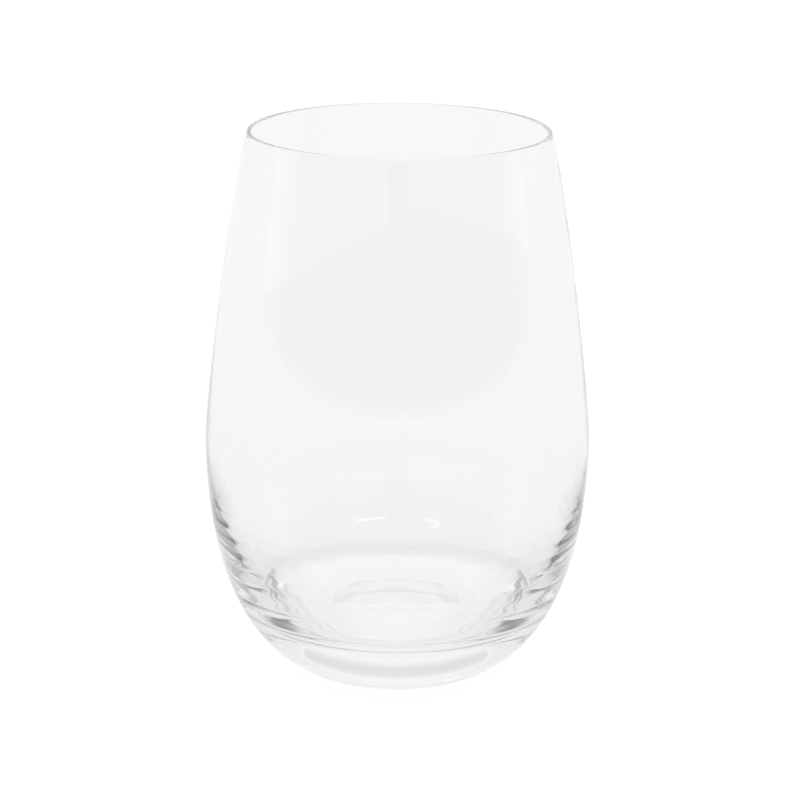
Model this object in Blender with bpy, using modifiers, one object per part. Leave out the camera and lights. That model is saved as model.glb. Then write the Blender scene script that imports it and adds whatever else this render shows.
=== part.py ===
"""Stemless water glass: one piece of clear soda-lime glass, turned about its upright axis.

The outside swells from the foot to a belly below half height and draws in to the lip.
The inside follows it at a thin wall that thickens downwards and turns a rounded corner. The
floor falls from there to a shallow channel and rises again to its middle, over a heavy solid
base. A shallow hollow underneath leaves a flat ring to stand on.
"""

import math

import bpy

# Driving dimensions, in metres, with the table at z = 0
HEIGHT = 0.1150           # table to the top of the lip
LIP_DIAMETER = 0.0624     # outside, just under the rounded lip
LIP_WALL = 0.0009         # glass at the lip
BELLY_DIAMETER = 0.0805   # outside, at the widest place
BELLY_HEIGHT = 0.0500     # of the widest place
BELLY_WALL = 0.0011       # glass at the belly
CORNER_HEIGHT = 0.0147    # where the inner wall meets the floor
CORNER_WALL = 0.0041      # glass beside that corner
CORNER_ROUND = 0.0010     # how far the corner is rounded each way
FLOOR_HEIGHT = 0.0144     # middle of the floor, down to the table
FOOT_DIAMETER = 0.0380    # where the outer wall comes down to the table
FOOT_ROUND = 0.0010       # how far that edge is rounded each way
CONTACT_WIDTH = 0.0035    # flat ring that the glass stands on
PUNT_DEPTH = 0.0014       # hollow under the base, at its middle

# Angles and fullness of the curves
LIP_LEAN = math.radians(15.6)    # the wall leans in at the lip
FOOT_RISE = math.radians(20.5)   # the outer wall rises from the table
FLOOR_FALL = math.radians(17.6)  # the floor falls from the corner
LIP_REACH = 0.20                 # how long the lip keeps its lean, of the upper span
BELLY_UP = 0.12                  # how long the belly stays upright, of the upper span
BELLY_DOWN = 0.72                # and of the lower span
FOOT_REACH = 0.41                # how long the foot keeps its rise, of its width
WALL_GROWTH = 2.3                # power at which the wall thickens below the belly
FLOOR_REACH = 0.41               # how long the floor keeps its fall, of its radius
FLOOR_MIDDLE = 0.53              # level middle of the floor, of its radius
ROUND_FULLNESS = 0.60            # fullness of the rounded corner and foot edge
PUNT_EDGE = 0.90                 # how slowly the hollow starts, of its radius
PUNT_MIDDLE = 0.60               # level middle of the hollow, of its radius

# Points on each stretch of the outline, and around the axis
WALL_STEPS = 9
LIP_STEPS = 6
ROUND_STEPS = 3
FLOOR_STEPS = 9
PUNT_STEPS = 4
SEGMENTS = 64

GLASS_COLOUR = (1.0, 1.0, 1.0, 1.0)
GLASS_ROUGHNESS = 0.0
GLASS_IOR = 1.52


def clear_scene():
    for old in list(bpy.data.objects):
        bpy.data.objects.remove(old)


def bezier(controls, t):
    """The point at t on the cubic Bezier curve with these four control points."""
    s = 1.0 - t
    weights = (s * s * s, 3.0 * s * s * t, 3.0 * s * t * t, t * t * t)
    radius = sum(w * c[0] for w, c in zip(weights, controls))
    height = sum(w * c[1] for w, c in zip(weights, controls))
    return radius, height


def stretch(controls, steps, start=0.0, end=1.0):
    """Evenly spaced points on a curve, from start up to but not on end."""
    return [bezier(controls, start + (end - start) * i / steps) for i in range(steps)]


def towards(start, goal, share):
    """The point some share of the way from one point to another."""
    return start[0] + share * (goal[0] - start[0]), start[1] + share * (goal[1] - start[1])


def rounded(start, corner, end):
    """A corner turned into a curve, from start up to but not on end."""
    start_handle = towards(start, corner, ROUND_FULLNESS)
    end_handle = towards(end, corner, ROUND_FULLNESS)
    return stretch((start, start_handle, end_handle, end), ROUND_STEPS)


def upper_wall():
    """Outside of the glass, from under the lip down to the belly."""
    lip = (LIP_DIAMETER / 2, HEIGHT - LIP_WALL / 2)
    belly = (BELLY_DIAMETER / 2, BELLY_HEIGHT)
    span = lip[1] - belly[1]
    reach = LIP_REACH * span
    lip_handle = (lip[0] + reach * math.sin(LIP_LEAN), lip[1] - reach * math.cos(LIP_LEAN))
    belly_handle = (belly[0], belly[1] + BELLY_UP * span)
    return lip, lip_handle, belly_handle, belly


def lower_wall():
    """Outside of the glass, from the belly down to the foot."""
    belly = (BELLY_DIAMETER / 2, BELLY_HEIGHT)
    foot = (FOOT_DIAMETER / 2, 0.0)
    reach = FOOT_REACH * (belly[0] - foot[0])
    belly_handle = (belly[0], belly[1] - BELLY_DOWN * BELLY_HEIGHT)
    foot_handle = (foot[0] + reach * math.cos(FOOT_RISE), reach * math.sin(FOOT_RISE))
    return belly, belly_handle, foot_handle, foot


def place_at_height(controls, height):
    """Where a falling curve passes a height, as its t, found by halving."""
    low, high = 0.0, 1.0
    for _ in range(40):
        middle = (low + high) / 2
        if bezier(controls, middle)[1] > height:
            low = middle
        else:
            high = middle
    return high


def wall_at(height):
    """Level thickness of the glass at a height above the corner."""
    if height > BELLY_HEIGHT:
        share = (height - BELLY_HEIGHT) / (HEIGHT - BELLY_HEIGHT)
        return BELLY_WALL + share * (LIP_WALL - BELLY_WALL)
    share = (BELLY_HEIGHT - height) / (BELLY_HEIGHT - CORNER_HEIGHT)
    return BELLY_WALL + (CORNER_WALL - BELLY_WALL) * share ** WALL_GROWTH


def inner_point(outer):
    radius, height = outer
    return radius - wall_at(height), height


def floor_from(corner):
    """The floor, from the corner down to its channel and in to its middle."""
    reach = FLOOR_REACH * corner[0]
    edge_handle = (corner[0] - reach * math.cos(FLOOR_FALL), corner[1] - reach * math.sin(FLOOR_FALL))
    middle_handle = (corner[0] * FLOOR_MIDDLE, FLOOR_HEIGHT)
    return corner, edge_handle, middle_handle, (0.0, FLOOR_HEIGHT)


def inside():
    """Inner outline, from under the lip down the wall, round the corner and over the floor."""
    wall_t = place_at_height(lower_wall(), CORNER_HEIGHT + CORNER_ROUND)
    corner_t = place_at_height(lower_wall(), CORNER_HEIGHT)
    outer = stretch(upper_wall(), WALL_STEPS) + stretch(lower_wall(), WALL_STEPS, end=wall_t)
    wall = [inner_point(point) for point in outer]
    wall_end = inner_point(bezier(lower_wall(), wall_t))
    corner = inner_point(bezier(lower_wall(), corner_t))
    floor = floor_from(corner)
    floor_t = CORNER_ROUND / (3.0 * math.dist(floor[0], floor[1]))
    turn = rounded(wall_end, corner, bezier(floor, floor_t))
    return wall + turn + stretch(floor, FLOOR_STEPS, start=floor_t) + [floor[3]]


def lip():
    """Half round over the lip, from the inner wall to the outer one, ends left out."""
    radius = LIP_WALL / 2
    middle = LIP_DIAMETER / 2 - radius
    angles = [math.pi * (1.0 - i / LIP_STEPS) for i in range(1, LIP_STEPS)]
    return [
        (middle + radius * math.cos(angle), HEIGHT - radius + radius * math.sin(angle))
        for angle in angles
    ]


def foot_end():
    """Where the outer wall gives way to the rounded edge of the foot, as its t."""
    wall = lower_wall()
    return 1.0 - FOOT_ROUND / (3.0 * math.dist(wall[2], wall[3]))


def underside():
    """Rounded edge of the foot, flat standing ring and the hollow, in to the axis."""
    ring_outside = (FOOT_DIAMETER / 2 - FOOT_ROUND, 0.0)
    ring_inside = (ring_outside[0] - CONTACT_WIDTH, 0.0)
    edge = rounded(bezier(lower_wall(), foot_end()), (FOOT_DIAMETER / 2, 0.0), ring_outside)
    start_handle = (ring_inside[0] * PUNT_EDGE, 0.0)
    middle_handle = (ring_inside[0] * PUNT_MIDDLE, PUNT_DEPTH)
    hollow = stretch((ring_inside, start_handle, middle_handle, (0.0, PUNT_DEPTH)), PUNT_STEPS)
    return edge + [ring_outside] + hollow + [(0.0, PUNT_DEPTH)]


def outline():
    """Whole section: floor, inner wall, lip, outer wall from top to bottom, underside."""
    outside = stretch(upper_wall(), WALL_STEPS) + stretch(lower_wall(), WALL_STEPS, end=foot_end())
    return inside()[::-1] + lip() + outside + underside()


def clear_glass():
    material = bpy.data.materials.new("clear_glass")
    material.use_nodes = True
    shader = material.node_tree.nodes["Principled BSDF"]
    shader.inputs["Base Color"].default_value = GLASS_COLOUR
    shader.inputs["Roughness"].default_value = GLASS_ROUGHNESS
    shader.inputs["Metallic"].default_value = 0.0
    shader.inputs["IOR"].default_value = GLASS_IOR
    shader.inputs["Transmission Weight"].default_value = 1.0
    return material


def make_tumbler(collection):
    """The glass: its section swept once around the upright axis."""
    points = [(radius, 0.0, height) for radius, height in outline()]
    edges = [(i, i + 1) for i in range(len(points) - 1)]
    mesh = bpy.data.meshes.new("tumbler")
    mesh.from_pydata(points, edges, [])
    mesh.materials.append(clear_glass())
    tumbler = bpy.data.objects.new("tumbler", mesh)
    collection.objects.link(tumbler)
    turn = tumbler.modifiers.new("turn", 'SCREW')
    turn.axis = 'Z'
    turn.angle = 2.0 * math.pi
    turn.steps = SEGMENTS
    turn.render_steps = SEGMENTS
    turn.use_merge_vertices = True
    turn.merge_threshold = 0.00001
    turn.use_smooth_shade = True
    return tumbler


clear_scene()
water_glass = bpy.data.collections.new("water_glass")
bpy.context.scene.collection.children.link(water_glass)
make_tumbler(water_glass)
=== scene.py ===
# %% [markdown]
# # A stemless water glass
#
# The glass on the table is one blown piece of clear glass: a thin lip, a round belly and a heavy
# base. Nothing on it has a colour of its own. All that the eye gets is how the walls bend and
# mirror the white set around them, so this lesson spends its effort on three things: the section
# of the glass, the slight unevenness that blowing leaves in it, and a set worth bending.
#
# The measured solid comes first. It fixes where the glass stands and how large it is.

# %% Load the measured glass
import math

import bpy
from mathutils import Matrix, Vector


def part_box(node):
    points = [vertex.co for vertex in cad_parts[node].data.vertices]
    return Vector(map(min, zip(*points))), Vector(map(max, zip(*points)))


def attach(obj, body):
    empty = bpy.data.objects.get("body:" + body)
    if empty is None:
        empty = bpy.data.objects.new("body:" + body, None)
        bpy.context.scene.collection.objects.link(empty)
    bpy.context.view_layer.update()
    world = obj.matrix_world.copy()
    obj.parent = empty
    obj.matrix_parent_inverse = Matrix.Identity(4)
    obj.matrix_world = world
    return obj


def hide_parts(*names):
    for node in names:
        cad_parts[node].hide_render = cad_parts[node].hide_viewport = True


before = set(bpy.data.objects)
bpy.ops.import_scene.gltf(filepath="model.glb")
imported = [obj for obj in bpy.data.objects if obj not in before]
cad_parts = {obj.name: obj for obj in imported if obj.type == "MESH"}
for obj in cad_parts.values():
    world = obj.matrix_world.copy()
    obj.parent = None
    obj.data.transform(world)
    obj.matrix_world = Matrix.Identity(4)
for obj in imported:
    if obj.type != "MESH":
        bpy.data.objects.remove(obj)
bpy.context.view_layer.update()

glass_low, glass_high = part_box("tumbler")
HEIGHT = glass_high.z
BELLY_RADIUS = glass_high.x
print("foot at %.1f mm, lip at %.1f mm, belly %.1f mm across"
      % (glass_low.z * 1000, HEIGHT * 1000, BELLY_RADIUS * 2000))

# %% [markdown]
# ## The camera
#
# The glass was seen from a little above, with a long lens, so that the mouth shows as a slim
# ellipse and the sides hardly converge. A camera can be aimed with a constraint, but plain
# numbers for its place, pitch and roll are easier to read, and other views can move it freely.

# %% Place the camera
CAMERA_SIDE = 0.0005
CAMERA_BACK = 0.5750
CAMERA_UP = 0.2227
CAMERA_PITCH = math.radians(16.03)
CAMERA_ROLL = math.radians(0.44)
CAMERA_LENS_MM = 128.36
SENSOR_WIDTH_MM = 36.0

bpy.ops.object.select_all(action='DESELECT')
bpy.ops.object.camera_add(location=(CAMERA_SIDE, -CAMERA_BACK, CAMERA_UP))
camera = bpy.context.object
camera.name = "studio_camera"
camera.rotation_mode = 'ZYX'
camera.rotation_euler = (math.pi / 2 - CAMERA_PITCH, 0.0, CAMERA_ROLL)
camera.data.lens = CAMERA_LENS_MM
camera.data.sensor_width = SENSOR_WIDTH_MM
bpy.context.scene.camera = camera
bpy.context.scene.view_settings.view_transform = 'Standard'
print("camera at", tuple(round(v, 4) for v in camera.location))

# %% [markdown]
# ## Helpers for nodes and colours
#
# Every shader below is a small tree of nodes. One function adds a node, gives it its settings and
# links its sockets, so that each tree reads from top to bottom. Colours are written as the hex
# values that an artist picks on screen, and one function turns them into the linear values that
# Blender works with. Ramps of grey are written as short lists of a position and a level.

# %% Helpers
WHITE = "#FFFFFF"


def linear(hex_colour):
    """An sRGB hex colour as linear red, green, blue and alpha."""
    channels = [int(hex_colour[i:i + 2], 16) / 255 for i in (1, 3, 5)]
    curve = [c / 12.92 if c <= 0.04045 else ((c + 0.055) / 1.055) ** 2.4 for c in channels]
    return (*curve, 1.0)


def add_node(tree, kind, values=None, links=None, **settings):
    """A node with its settings, the values of its sockets and the links into them."""
    node = tree.nodes.new(kind)
    for name, setting in settings.items():
        setattr(node, name, setting)
    for socket, value in (values or {}).items():
        node.inputs[socket].default_value = value
    for socket, source in (links or {}).items():
        tree.links.new(source, node.inputs[socket])
    return node


def empty_tree(owner):
    """The node tree of a material or world, with nothing in it."""
    owner.use_nodes = True
    owner.node_tree.nodes.clear()
    return owner.node_tree


def set_levels(ramp, levels):
    """Give a colour ramp these stops of grey, each a position and a level."""
    stops = ramp.color_ramp.elements
    while len(stops) < len(levels):
        stops.new(1.0)
    for stop, (position, level) in zip(stops, levels):
        stop.position = position
        stop.color = (level, level, level, 1.0)


def seen_by_eye(tree):
    """1 for what the camera sees, straight, in a reflection or through glass, and else 0."""
    path = add_node(tree, "ShaderNodeLightPath")
    mirrored = add_node(tree, "ShaderNodeMath", operation='MAXIMUM',
                        links={0: path.outputs["Is Glossy Ray"],
                               1: path.outputs["Is Transmission Ray"]})
    return add_node(tree, "ShaderNodeMath", operation='MAXIMUM',
                    links={0: path.outputs["Is Camera Ray"], 1: mirrored.outputs[0]}).outputs[0]


print("white in linear light:", linear(WHITE)[:3])

# %% [markdown]
# ## The table
#
# The glass stands on a white sheet. Seen straight it is a flat white, with a share of the lit
# surface left in, so that the glass keeps the faint shadow that holds it to the table. Seen in
# the glass the sheet isn't one white. The light comes from behind, so it is whitest in a pool that
# opens backwards from the foot, and greyer in front and at the sides, most of all near the glass.
# The heavy base gathers light under itself and leaves a soft dark ring round its foot, which shows
# through the wall as an arc behind the floor. Rendering such gathered light takes very long, so
# both are painted.

# %% Lay the white table
TABLE_RADIUS = 1.05
TABLE_POINTS = 128
TABLE_GAP = 0.0002              # keeps the sheet off the standing ring
TABLE_SHEET = "#F4F4F4"         # where light falls on it
FAINT_SHEET = "#606060"         # the share of it that the eye keeps
SHEET_GLOW = 0.955              # seen straight
BACK_GLOW = 0.875               # seen in the glass, in the pool
FRONT_GLOW = 0.62               # outside the pool, near the glass
FAR_GLOW = 0.68                 # outside the pool, far away
GREY_START = 0.10               # how far out the grey begins to fade
GREY_END = 0.60                 # and ends
POOL_START = (0.0, -0.035, 0.0)
POOL_EDGE = 0.20                # bearing at the pool's edge, where 1 is straight back
POOL_HEART = 0.97
SHADE_LEVELS = [                # metres from the axis, and a share of the glow
    (0.000, 1.06), (0.030, 1.05), (0.038, 0.86), (0.047, 0.92), (0.058, 0.96), (0.072, 1.00),
]

bpy.ops.object.select_all(action='DESELECT')
bpy.ops.mesh.primitive_circle_add(vertices=TABLE_POINTS, radius=TABLE_RADIUS, fill_type='NGON',
                                  location=(0.0, 0.0, -TABLE_GAP))
table = bpy.context.object
table.name = "white_table"
sheet = bpy.data.materials.new("white_paper_sheet")
tree = empty_tree(sheet)
lit = add_node(tree, "ShaderNodeBsdfDiffuse", {"Color": linear(TABLE_SHEET)})
faint = add_node(tree, "ShaderNodeBsdfDiffuse", {"Color": linear(FAINT_SHEET)})
place = add_node(tree, "ShaderNodeTexCoord").outputs["Object"]
reach = add_node(tree, "ShaderNodeVectorMath", {1: POOL_START}, {0: place}, operation='SUBTRACT')
bearing = add_node(tree, "ShaderNodeVectorMath", links={0: reach.outputs[0]},
                   operation='NORMALIZE')
behind = add_node(tree, "ShaderNodeSeparateXYZ", links={0: bearing.outputs[0]}).outputs["Y"]
away = add_node(tree, "ShaderNodeVectorMath", links={0: place},
                operation='LENGTH').outputs["Value"]
grey = add_node(tree, "ShaderNodeMapRange",
                {1: GREY_START, 2: GREY_END, 3: FRONT_GLOW, 4: FAR_GLOW}, {0: away})
pool = add_node(tree, "ShaderNodeMapRange", {1: POOL_EDGE, 2: POOL_HEART, 4: BACK_GLOW},
                {0: behind, 3: grey.outputs[0]})
shade = add_node(tree, "ShaderNodeValToRGB", links={0: away})
set_levels(shade, SHADE_LEVELS)
graded = add_node(tree, "ShaderNodeMath", operation='MULTIPLY',
                  links={0: pool.outputs[0], 1: shade.outputs["Color"]})
direct = add_node(tree, "ShaderNodeLightPath").outputs["Is Camera Ray"]
level = add_node(tree, "ShaderNodeMix", {3: SHEET_GLOW}, {0: direct, 2: graded.outputs[0]})
glow = add_node(tree, "ShaderNodeEmission", links={"Strength": level.outputs[0]})
shown = add_node(tree, "ShaderNodeAddShader", links={0: faint.outputs[0], 1: glow.outputs[0]})
choice = add_node(tree, "ShaderNodeMixShader",
                  links={0: seen_by_eye(tree), 1: lit.outputs[0], 2: shown.outputs[0]})
add_node(tree, "ShaderNodeOutputMaterial", links={0: choice.outputs[0]})
table.data.materials.append(sheet)
print("table:", TABLE_RADIUS * 2, "m across")

# %% [markdown]
# ## The set
#
# Clear glass is lit by what stands round it. Here that is a white sweep behind the glass with one
# grey stripe, a bright ceiling, and a dim room on the camera's side. The thick heel bends the dim
# room into dark strokes, the upper wall mirrors it as a faint grey patch, and the foot bends the
# stripe into the grey band near the table. Real walls would stand in the way of other views, so
# the world paints them by direction: one ramp of levels up the back, one up the front, and a soft
# change between them at the sides. The camera itself sees plain white.

# %% Paint the set
SET_LEVELS = {    # sine of the elevation, and a level
    "front": [(0.00, 0.36), (0.14, 0.31), (0.30, 0.13), (0.62, 0.13), (0.70, 0.60), (1.00, 0.80)],
    "back": [(0.00, 0.90), (0.37, 0.96), (0.44, 0.76), (0.50, 0.76), (0.57, 0.96), (1.00, 0.98)],
}
FRONT_END = -0.34    # where the front gives way, as a share of straight back
BACK_START = 0.32

world = bpy.data.worlds.new("white_studio")
bpy.context.scene.world = world
tree = empty_tree(world)
direction = add_node(tree, "ShaderNodeTexCoord").outputs["Generated"]
parts = add_node(tree, "ShaderNodeSeparateXYZ", links={0: direction}).outputs
side = {}
for name, levels in SET_LEVELS.items():
    side[name] = add_node(tree, "ShaderNodeValToRGB", links={0: parts["Z"]})
    set_levels(side[name], levels)
turn = add_node(tree, "ShaderNodeMapRange", {1: FRONT_END, 2: BACK_START}, {0: parts["Y"]},
                interpolation_type='SMOOTHSTEP')
painted = add_node(tree, "ShaderNodeMix", data_type='RGBA',
                   links={0: turn.outputs[0], 6: side["front"].outputs["Color"],
                          7: side["back"].outputs["Color"]})
room = add_node(tree, "ShaderNodeBackground", links={"Color": painted.outputs[2]})
white = add_node(tree, "ShaderNodeBackground", {"Color": linear(WHITE)})
path = add_node(tree, "ShaderNodeLightPath")
choice = add_node(tree, "ShaderNodeMixShader",
                  links={0: path.outputs["Is Camera Ray"], 1: room.outputs[0],
                         2: white.outputs[0]})
add_node(tree, "ShaderNodeOutputWorld", links={0: choice.outputs[0]})
print("set painted with", {name: len(levels) for name, levels in SET_LEVELS.items()}, "levels")

# %% [markdown]
# ## Soft boxes and strips
#
# Two wide soft boxes stand beyond the camera with a gap between them, their outer ends tilted
# down. The upper wall mirrors them as two pale fields over the grey patch, with a dark strip
# between. Two small strips higher up give the bright dashes low on the wall. An area lamp shows in
# glass as the lit rectangle that it is. A lamp's brightness is its power spread over its area and
# over the half sphere in front of it, so the power follows from the brightness wanted.

# %% Hang the lamps
LAMP_DISTANCE = 1.2
LAMPS = {    # turn, rise and roll in degrees, width and height in metres, brightness
    "soft_box_left": (-54, 15.6, 8.0, 2.40, 0.38, 0.30),
    "soft_box_right": (54, 18.4, -8.0, 2.40, 0.38, 0.30),
    "strip_left": (-31, 37.0, 0.0, 0.24, 0.07, 2.20),
    "strip_right": (22, 37.0, 0.0, 0.42, 0.07, 2.20),
}

for name, (turn, rise, roll, width, height, brightness) in LAMPS.items():
    turn, rise = math.radians(turn), math.radians(rise)
    place = (LAMP_DISTANCE * math.sin(turn) * math.cos(rise),
             -LAMP_DISTANCE * math.cos(turn) * math.cos(rise),
             LAMP_DISTANCE * math.sin(rise))
    bpy.ops.object.select_all(action='DESELECT')
    bpy.ops.object.light_add(type='AREA', location=place,
                             rotation=(math.pi / 2 - rise, 0.0, turn))
    light = bpy.context.object
    light.name = name
    light.rotation_euler.rotate_axis('Z', math.radians(roll))
    light.data.shape = 'RECTANGLE'
    light.data.size = width
    light.data.size_y = height
    light.data.energy = brightness * math.pi * width * height
    print(light.name, "%.2f W" % light.data.energy)

# %% [markdown]
# ## The section of the glass
#
# A glass is turned, so one outline holds its whole shape. It is drawn with the same few curves
# that a glassmaker thinks in. The upper wall leans in to the lip and the lower wall rounds in to
# the foot. The inside leaves a thin wall above and a heavy heel below, turns a rounded corner,
# falls to a shallow channel and rises to the middle of the floor. Underneath is a shallow hollow.
#
# Low on the inner wall the mould and the blowing leave rings, a few thousandths of a millimetre
# deep. They can't be felt, but the heel turns them into its slanting dark strokes, so they are
# part of the outline. Points come from Bezier curves, so no list of numbers is needed.

# %% Draw the outline
# Sizes, in metres
LIP_RADIUS = 0.0312
LIP_WALL = 0.0009
BELLY_HEIGHT = 0.0500
BELLY_WALL = 0.0011
CORNER_HEIGHT = 0.0147    # where the inner wall meets the floor
CORNER_WALL = 0.0041
CORNER_ROUND = 0.0010
FLOOR_HEIGHT = 0.0144     # at the middle of the floor
FOOT_RADIUS = 0.0190
FOOT_ROUND = 0.0010
CONTACT_WIDTH = 0.0035    # flat ring that the glass stands on
PUNT_DEPTH = 0.0014       # hollow under the base

# Angles and fullness of the curves
LIP_LEAN = math.radians(15.6)
FOOT_RISE = math.radians(20.5)
FLOOR_FALL = math.radians(17.6)
LIP_REACH = 0.20
BELLY_UP = 0.12
BELLY_DOWN = 0.72
FOOT_REACH = 0.41 * (BELLY_RADIUS - FOOT_RADIUS)
WALL_GROWTH = 2.3         # power at which the wall thickens below the belly
FLOOR_REACH = 0.41
FLOOR_MIDDLE = 0.53
ROUND_FULLNESS = 0.60
PUNT_EDGE = 0.90
PUNT_MIDDLE = 0.60

# Rings low on the inner wall, with a slower wave among them
RING_DEPTH = 0.000006
RING_PITCH = 0.0029
SLOW_SHARE = 0.40
SLOW_TURN = 0.61
RINGS_TOP = 0.0440
RINGS_FADE_IN = 0.0120
RINGS_FADE_OUT = 0.0030

# Points on each stretch of the outline
UPPER_STEPS = 30
INNER_STEPS = 120
OUTER_STEPS = 70
CORNER_STEPS = 15
FLOOR_STEPS = 40
LIP_STEPS = 24
FOOT_STEPS = 8
PUNT_STEPS = 16
HALVINGS = 40


def bezier(controls, t):
    """The point at t on the cubic Bezier curve with these four control points."""
    s = 1.0 - t
    weights = (s * s * s, 3 * s * s * t, 3 * s * t * t, t * t * t)
    return tuple(sum(w * c[k] for w, c in zip(weights, controls)) for k in (0, 1))


def stretch(controls, steps, start=0.0, end=1.0):
    """Evenly spaced points on a curve, from start up to but not on end."""
    return [bezier(controls, start + (end - start) * i / steps) for i in range(steps)]


def towards(start, goal, share):
    """The point some share of the way from one point to another."""
    return tuple(a + share * (b - a) for a, b in zip(start, goal))


def end_share(length, handle):
    """The t that a short length takes at the end of a cubic curve with a handle this long."""
    return length / (3 * handle)


def rounded(start, corner, end, steps):
    """A corner turned into a curve, from start up to but not on end."""
    return stretch((start, towards(start, corner, ROUND_FULLNESS),
                    towards(end, corner, ROUND_FULLNESS), end), steps)


def upper_wall():
    """Outside of the glass, from under the lip down to the belly."""
    lip_height = HEIGHT - LIP_WALL / 2
    span = lip_height - BELLY_HEIGHT
    reach = LIP_REACH * span
    return ((LIP_RADIUS, lip_height),
            (LIP_RADIUS + reach * math.sin(LIP_LEAN), lip_height - reach * math.cos(LIP_LEAN)),
            (BELLY_RADIUS, BELLY_HEIGHT + BELLY_UP * span),
            (BELLY_RADIUS, BELLY_HEIGHT))


def lower_wall():
    """Outside of the glass, from the belly down to the foot."""
    return ((BELLY_RADIUS, BELLY_HEIGHT),
            (BELLY_RADIUS, BELLY_HEIGHT * (1 - BELLY_DOWN)),
            (FOOT_RADIUS + FOOT_REACH * math.cos(FOOT_RISE), FOOT_REACH * math.sin(FOOT_RISE)),
            (FOOT_RADIUS, 0.0))


def place_at_height(controls, height):
    """Where a falling curve passes a height, as its t, found by halving."""
    low, high = 0.0, 1.0
    for _ in range(HALVINGS):
        middle = (low + high) / 2
        if bezier(controls, middle)[1] > height:
            low = middle
        else:
            high = middle
    return high


def inner_point(outer):
    """The point of the inner wall level with a point of the outer wall."""
    radius, height = outer
    if height > BELLY_HEIGHT:
        share = (height - BELLY_HEIGHT) / (HEIGHT - BELLY_HEIGHT)
        return radius - BELLY_WALL - share * (LIP_WALL - BELLY_WALL), height
    share = (BELLY_HEIGHT - height) / (BELLY_HEIGHT - CORNER_HEIGHT)
    return radius - BELLY_WALL - (CORNER_WALL - BELLY_WALL) * share ** WALL_GROWTH, height


def ease(value):
    """A smooth step from 0 to 1."""
    value = min(max(value, 0.0), 1.0)
    return value * value * (3 - 2 * value)


def waved(wall):
    """The inner wall with the shallow rings that the mould and the blowing leave low on it."""
    points, run = [], 0.0
    for before, (radius, height) in zip(wall[:1] + wall, wall):
        run += math.dist(before, (radius, height))
        turn = 2 * math.pi * run / RING_PITCH
        depth = RING_DEPTH * (math.sin(turn) + SLOW_SHARE * math.sin(SLOW_TURN * turn))
        fade = ease((RINGS_TOP - height) / RINGS_FADE_IN)
        fade *= ease((height - CORNER_HEIGHT) / RINGS_FADE_OUT)
        points.append((radius + depth * fade, height))
    return points


def inside():
    """Inner outline, from under the lip down the wall, round the corner and over the floor."""
    round_t = place_at_height(lower_wall(), CORNER_HEIGHT + CORNER_ROUND)
    upper = stretch(upper_wall(), UPPER_STEPS)
    lower = stretch(lower_wall(), INNER_STEPS, end=round_t)
    wall = waved([inner_point(point) for point in upper + lower])
    wall_end = inner_point(bezier(lower_wall(), round_t))
    corner = inner_point(bezier(lower_wall(), place_at_height(lower_wall(), CORNER_HEIGHT)))
    reach = FLOOR_REACH * corner[0]
    edge = (corner[0] - reach * math.cos(FLOOR_FALL), corner[1] - reach * math.sin(FLOOR_FALL))
    floor = (corner, edge, (FLOOR_MIDDLE * corner[0], FLOOR_HEIGHT), (0.0, FLOOR_HEIGHT))
    floor_t = end_share(CORNER_ROUND, reach)
    turn = rounded(wall_end, corner, bezier(floor, floor_t), CORNER_STEPS)
    return wall + turn + stretch(floor, FLOOR_STEPS, start=floor_t) + [(0.0, FLOOR_HEIGHT)]


def lip():
    """Half round over the lip, from the inner wall to the outer one, ends left out."""
    radius = LIP_WALL / 2
    angles = [math.pi * (1 - i / LIP_STEPS) for i in range(1, LIP_STEPS)]
    return [(LIP_RADIUS - radius + radius * math.cos(a), HEIGHT - radius + radius * math.sin(a))
            for a in angles]


def underside(wall_end):
    """Round of the foot, flat standing ring and the shallow hollow, in to the axis."""
    ring_start = (FOOT_RADIUS - FOOT_ROUND, 0.0)
    ring_end = (ring_start[0] - CONTACT_WIDTH, 0.0)
    edge = rounded(wall_end, (FOOT_RADIUS, 0.0), ring_start, FOOT_STEPS)
    hollow = stretch((ring_end, (ring_end[0] * PUNT_EDGE, 0.0),
                      (ring_end[0] * PUNT_MIDDLE, PUNT_DEPTH), (0.0, PUNT_DEPTH)), PUNT_STEPS)
    return edge + [ring_start] + hollow + [(0.0, PUNT_DEPTH)]


def outline():
    """Whole section: floor, inner wall, lip, outer wall from top to bottom, underside."""
    foot_t = 1 - end_share(FOOT_ROUND, FOOT_REACH)
    outside = stretch(upper_wall(), UPPER_STEPS) + stretch(lower_wall(), OUTER_STEPS, end=foot_t)
    return inside()[::-1] + lip() + outside + underside(bezier(lower_wall(), foot_t))


section = outline()
print("outline of", len(section), "points")

# %% [markdown]
# ## Turn the glass
#
# By hand, a lathe shape starts as a single vertex that is extruded along the outline and then
# spun round the axis. The script does the same: a small plane is merged to one vertex, moved to
# the middle of the floor and extruded point by point. Spin makes one more copy of the outline than
# it needs and leaves a bundle of vertices on the axis, so doubles are merged before the
# normals are turned outwards.
#
# A blown wall is never quite even. A soft cloud texture moves the skin by about a hundredth of a
# millimetre, which is enough to bend the rings out of perfect circles.

# %% Extrude the outline and spin it
SEED_SIZE = 0.001    # the plane that becomes the first vertex
SPIN_STEPS = 240
MERGE = 1e-6
DRIFT_SIZE = 0.022
DRIFT_DEPTH = 0.000020


def moved(start, end):
    """The step from one point of the outline to the next, as a 3-D vector."""
    return (end[0] - start[0], 0.0, end[1] - start[1])


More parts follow.
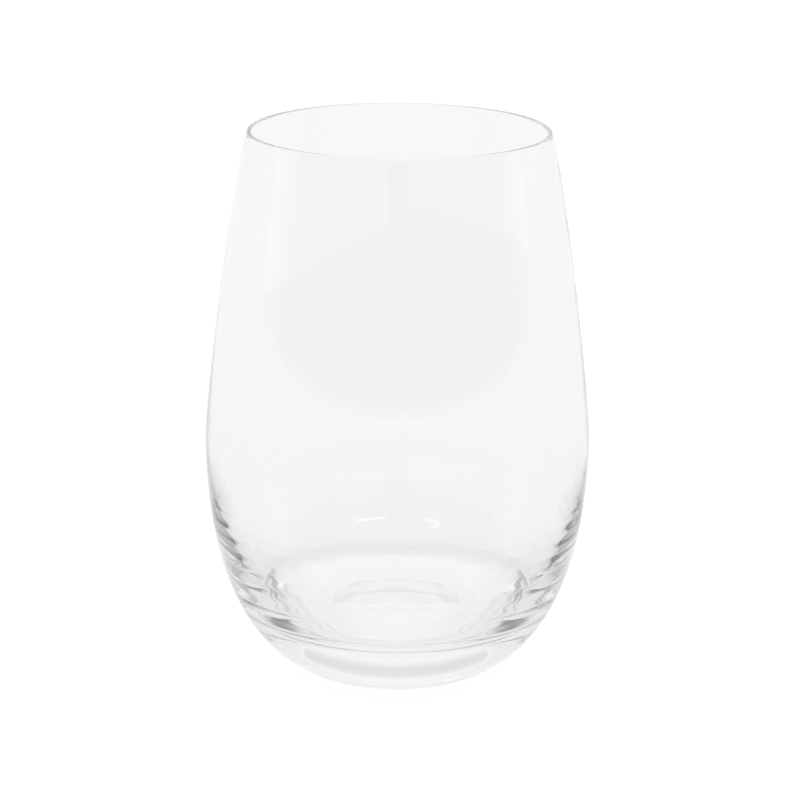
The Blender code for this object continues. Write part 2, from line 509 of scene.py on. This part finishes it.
bpy.ops.object.select_all(action='DESELECT')
bpy.ops.mesh.primitive_plane_add(size=SEED_SIZE, location=(0.0, 0.0, 0.0))
glass = bpy.context.object
glass.name = "blown_tumbler"
bpy.ops.object.mode_set(mode='EDIT')
bpy.ops.mesh.select_all(action='SELECT')
bpy.ops.mesh.merge(type='CENTER')
bpy.ops.transform.translate(value=moved((0.0, 0.0), section[0]))
for start, end in zip(section, section[1:]):
    bpy.ops.mesh.extrude_region_move(TRANSFORM_OT_translate={"value": moved(start, end)})
bpy.ops.mesh.select_all(action='SELECT')
bpy.ops.mesh.spin(steps=SPIN_STEPS, angle=2 * math.pi, center=(0, 0, 0), axis=(0, 0, 1))
bpy.ops.mesh.select_all(action='SELECT')
bpy.ops.mesh.remove_doubles(threshold=MERGE)
bpy.ops.mesh.normals_make_consistent(inside=False)
bpy.ops.object.mode_set(mode='OBJECT')
bpy.ops.object.shade_smooth()

drift = bpy.data.textures.new("drift_of_the_gather", type='CLOUDS')
drift.noise_scale = DRIFT_SIZE
uneven = glass.modifiers.new("drift", 'DISPLACE')
uneven.texture = drift
uneven.strength = DRIFT_DEPTH
bpy.ops.object.modifier_apply(modifier=uneven.name)
print("glass:", len(glass.data.vertices), "vertices,", len(glass.data.polygons), "faces")

# %% [markdown]
# ## Clear glass
#
# Soda-lime glass, blown and fire-polished: clear and neutral, with an index of refraction of about
# 1.52. Long paths lose a little light, so the absorption is set for the whole body of the glass.
# Its skin keeps a ripple some millimetres wide from the blowing, far too shallow to see by itself.
# Only the ring that it stands on is dull, from being set down and pushed about.

# %% Make the clear glass
GLASS_IOR = 1.52
BODY_TINT = "#E9E9E9"
BODY_DENSITY = 1.8
RIPPLE_MM = 7.0
RIPPLE_DETAIL = 1.0
RIPPLE_DEPTH = 0.0000002
SCUFF_MM = 0.6
SCUFF_DETAIL = 3.0
WORN_HEIGHT = 0.0004
WORN_ROUGHNESS = 0.22
MM_IN_METRE = 1000

clear_glass = bpy.data.materials.new("clear_soda_lime_glass")
tree = empty_tree(clear_glass)
place = add_node(tree, "ShaderNodeTexCoord").outputs["Object"]
ripple = add_node(tree, "ShaderNodeTexNoise",
                  {"Scale": MM_IN_METRE / RIPPLE_MM, "Detail": RIPPLE_DETAIL}, {"Vector": place})
skin = add_node(tree, "ShaderNodeBump", {"Strength": 1.0, "Distance": RIPPLE_DEPTH},
                {"Height": ripple.outputs[0]})
height = add_node(tree, "ShaderNodeSeparateXYZ", links={0: place}).outputs["Z"]
worn = add_node(tree, "ShaderNodeMapRange",
                {1: 0.0, 2: WORN_HEIGHT, 3: WORN_ROUGHNESS, 4: 0.0}, {0: height})
scuffs = add_node(tree, "ShaderNodeTexNoise",
                  {"Scale": MM_IN_METRE / SCUFF_MM, "Detail": SCUFF_DETAIL}, {"Vector": place})
dull = add_node(tree, "ShaderNodeMath", links={0: worn.outputs[0], 1: scuffs.outputs[0]},
                operation='MULTIPLY')
surface = add_node(tree, "ShaderNodeBsdfPrincipled",
                   {"Base Color": linear(WHITE), "IOR": GLASS_IOR, "Transmission Weight": 1.0},
                   {"Roughness": dull.outputs[0], "Normal": skin.outputs[0]})
body = add_node(tree, "ShaderNodeVolumeAbsorption",
                {"Color": linear(BODY_TINT), "Density": BODY_DENSITY})
add_node(tree, "ShaderNodeOutputMaterial",
         links={"Surface": surface.outputs[0], "Volume": body.outputs[0]})
glass.data.materials.append(clear_glass)
print("material:", clear_glass.name)

# %% [markdown]
# ## Light inside thick glass
#
# A ray that enters the lip or the edge of the thin wall can run inside it like light in a fibre,
# and bounce hundreds of times before it leaves. With Blender's usual limit such rays end as black
# and draw a dark outline that clear glass doesn't have, so the limits are raised.

# %% Let light run inside the wall
BOUNCES = 600

cycles = bpy.context.scene.cycles
cycles.max_bounces = BOUNCES
cycles.transmission_bounces = BOUNCES
cycles.glossy_bounces = BOUNCES
print("bounces:", BOUNCES)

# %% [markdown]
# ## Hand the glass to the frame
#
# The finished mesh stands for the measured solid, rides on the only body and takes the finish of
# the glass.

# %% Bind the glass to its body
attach(glass, "root")
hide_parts("tumbler")
